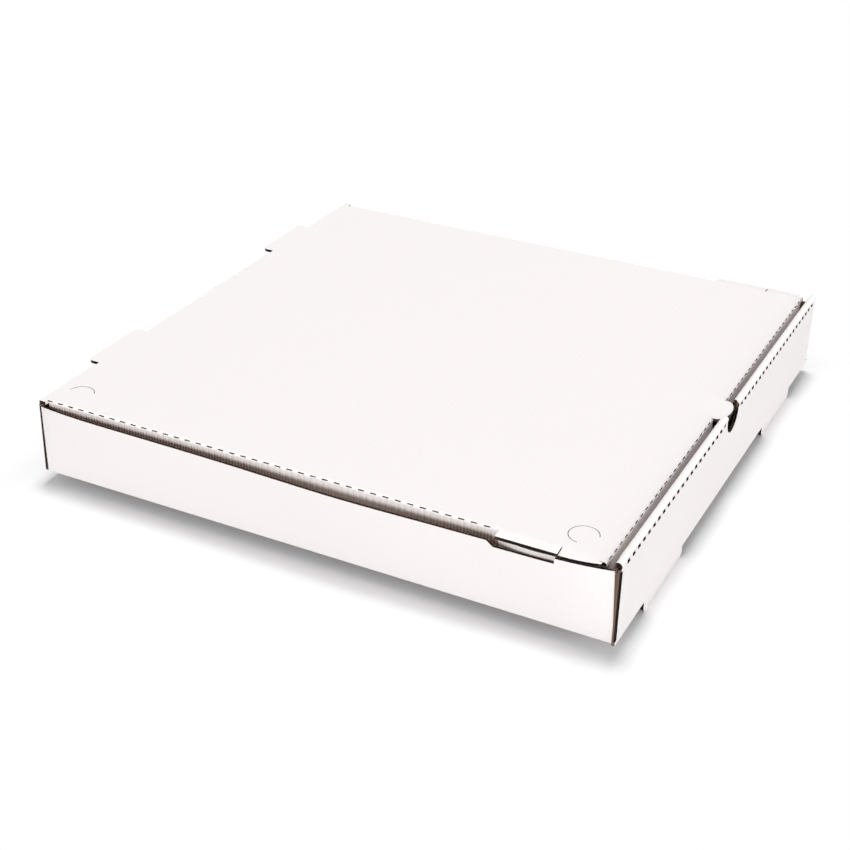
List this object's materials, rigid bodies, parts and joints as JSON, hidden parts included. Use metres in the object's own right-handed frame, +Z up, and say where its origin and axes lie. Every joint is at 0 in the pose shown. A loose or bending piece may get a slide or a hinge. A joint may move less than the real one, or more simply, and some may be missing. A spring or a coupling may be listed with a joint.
{
  "type": "pizza box",
  "caption": "Closed one-piece folded cardboard pizza box with a hinged tuck-in lid, perforated creases, a rolled front wall, a thumb notch and corner vents.",
  "frame": {"origin": "centre of the base's underside, on the plane that the base board rests in", "axes": "+Z up through the lid, -Y towards the front wall with the thumb notch, +Y towards the lid's hinge crease, +X to the right seen from the front"},
  "size_m": [0.3183, 0.3186, 0.0489],
  "materials": {
    "tray_board": "matt white liner with brown fluted raw edges",
    "lid_board": "matt white liner with brown fluted raw edges"
  },
  "bodies": {
    "tray": {"tray": "tray_board"},
    "lid": {"lid": "lid_board"}
  },
  "joints": [
    {"name": "lid_crease", "type": "hinge", "parent": "tray", "child": "lid", "pos_m": [0, 0.1542, 0.04], "axis": [-1, 0, 0], "range_deg": [0, 180]}
  ]
}
